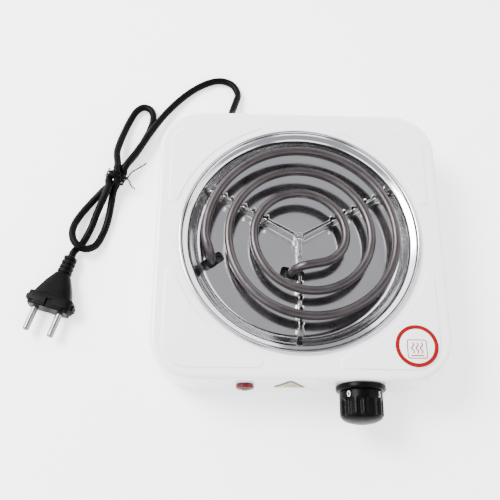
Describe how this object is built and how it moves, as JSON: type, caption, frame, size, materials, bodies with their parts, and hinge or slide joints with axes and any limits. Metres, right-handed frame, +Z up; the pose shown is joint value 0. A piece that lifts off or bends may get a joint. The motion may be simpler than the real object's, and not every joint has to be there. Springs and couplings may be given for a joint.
{
  "type": "hot plate burner",
  "caption": "Square countertop electric hot plate with a round drip pan, a spiral tube heating element, a thermostat knob on the front, an indicator lamp and a corded plug.",
  "frame": {"origin": "on the worktop, under the middle of the body with its knob (their bounding box, without the lead, its bushing, tie and plug)", "axes": "+Z up, -Y the front with the knob and the lamp, +X the right-hand side seen from the front"},
  "size_m": [0.307, 0.2976, 0.0521],
  "materials": {
    "white_enamel": "gloss",
    "chrome_pan": "polished",
    "element_sheath": "satin",
    "plated_strip": "satin",
    "zinc_steel": "satin",
    "blackened_steel": "matte",
    "brass": "satin",
    "bimetal": "satin",
    "steatite": "matte",
    "black_knob": "satin",
    "black_rubber": "matte",
    "black_pvc": "satin",
    "nickel_pin": "satin",
    "red_lens": "gloss",
    "lamp_glass": "gloss",
    "glass_fibre_sleeve": "matte",
    "round_label": "satin",
    "triangle_label": "satin"
  },
  "bodies": {
    "base": {"top_shell": "white_enamel", "bottom_cover": "zinc_steel", "foot_front_left": "black_rubber", "foot_front_right": "black_rubber", "foot_rear_left": "black_rubber", "foot_rear_right": "black_rubber", "foot_screw_front_left": "zinc_steel", "foot_screw_front_right": "zinc_steel", "foot_screw_rear_left": "zinc_steel", "foot_screw_rear_right": "zinc_steel", "drip_pan": "chrome_pan", "heating_coil": "element_sheath", "end_seal_outer": "steatite", "end_seal_inner": "steatite", "end_stud_outer": "zinc_steel", "end_stud_inner": "zinc_steel", "element_bracket": "blackened_steel", "bracket_screw_1": "zinc_steel", "bracket_screw_2": "zinc_steel", "support_strip_left": "plated_strip", "support_strip_right": "plated_strip", "support_strip_rear": "plated_strip", "thermostat_bush": "zinc_steel", "thermostat_nut": "zinc_steel", "thermostat_ceramic": "steatite", "thermostat_bimetal": "bimetal", "thermostat_contact_blade": "brass", "bimetal_rivet": "brass", "blade_rivet": "brass", "indicator_lens": "red_lens", "lens_clip": "zinc_steel", "neon_bulb": "lamp_glass", "terminal_block": "steatite", "cord_core_live": "glass_fibre_sleeve", "cord_core_neutral": "glass_fibre_sleeve", "lead_block_to_coil": "glass_fibre_sleeve", "lead_coil_to_thermostat": "glass_fibre_sleeve", "lead_block_to_thermostat": "glass_fibre_sleeve", "lead_lamp": "glass_fibre_sleeve", "cord_bushing": "black_rubber", "power_cord": "black_pvc", "cord_tie": "black_pvc", "plug_body": "black_pvc", "plug_pin_left": "nickel_pin", "plug_pin_right": "nickel_pin", "round_label": "round_label", "triangle_label": "triangle_label"},
    "knob": {"control_knob": "black_knob", "thermostat_spindle": "zinc_steel"}
  },
  "joints": [
    {"name": "knob_turn", "type": "hinge", "parent": "base", "child": "knob", "pos_m": [0.042, -0.09175, 0.0285], "axis": [0, 1, 0], "range_deg": [0, 270]}
  ]
}
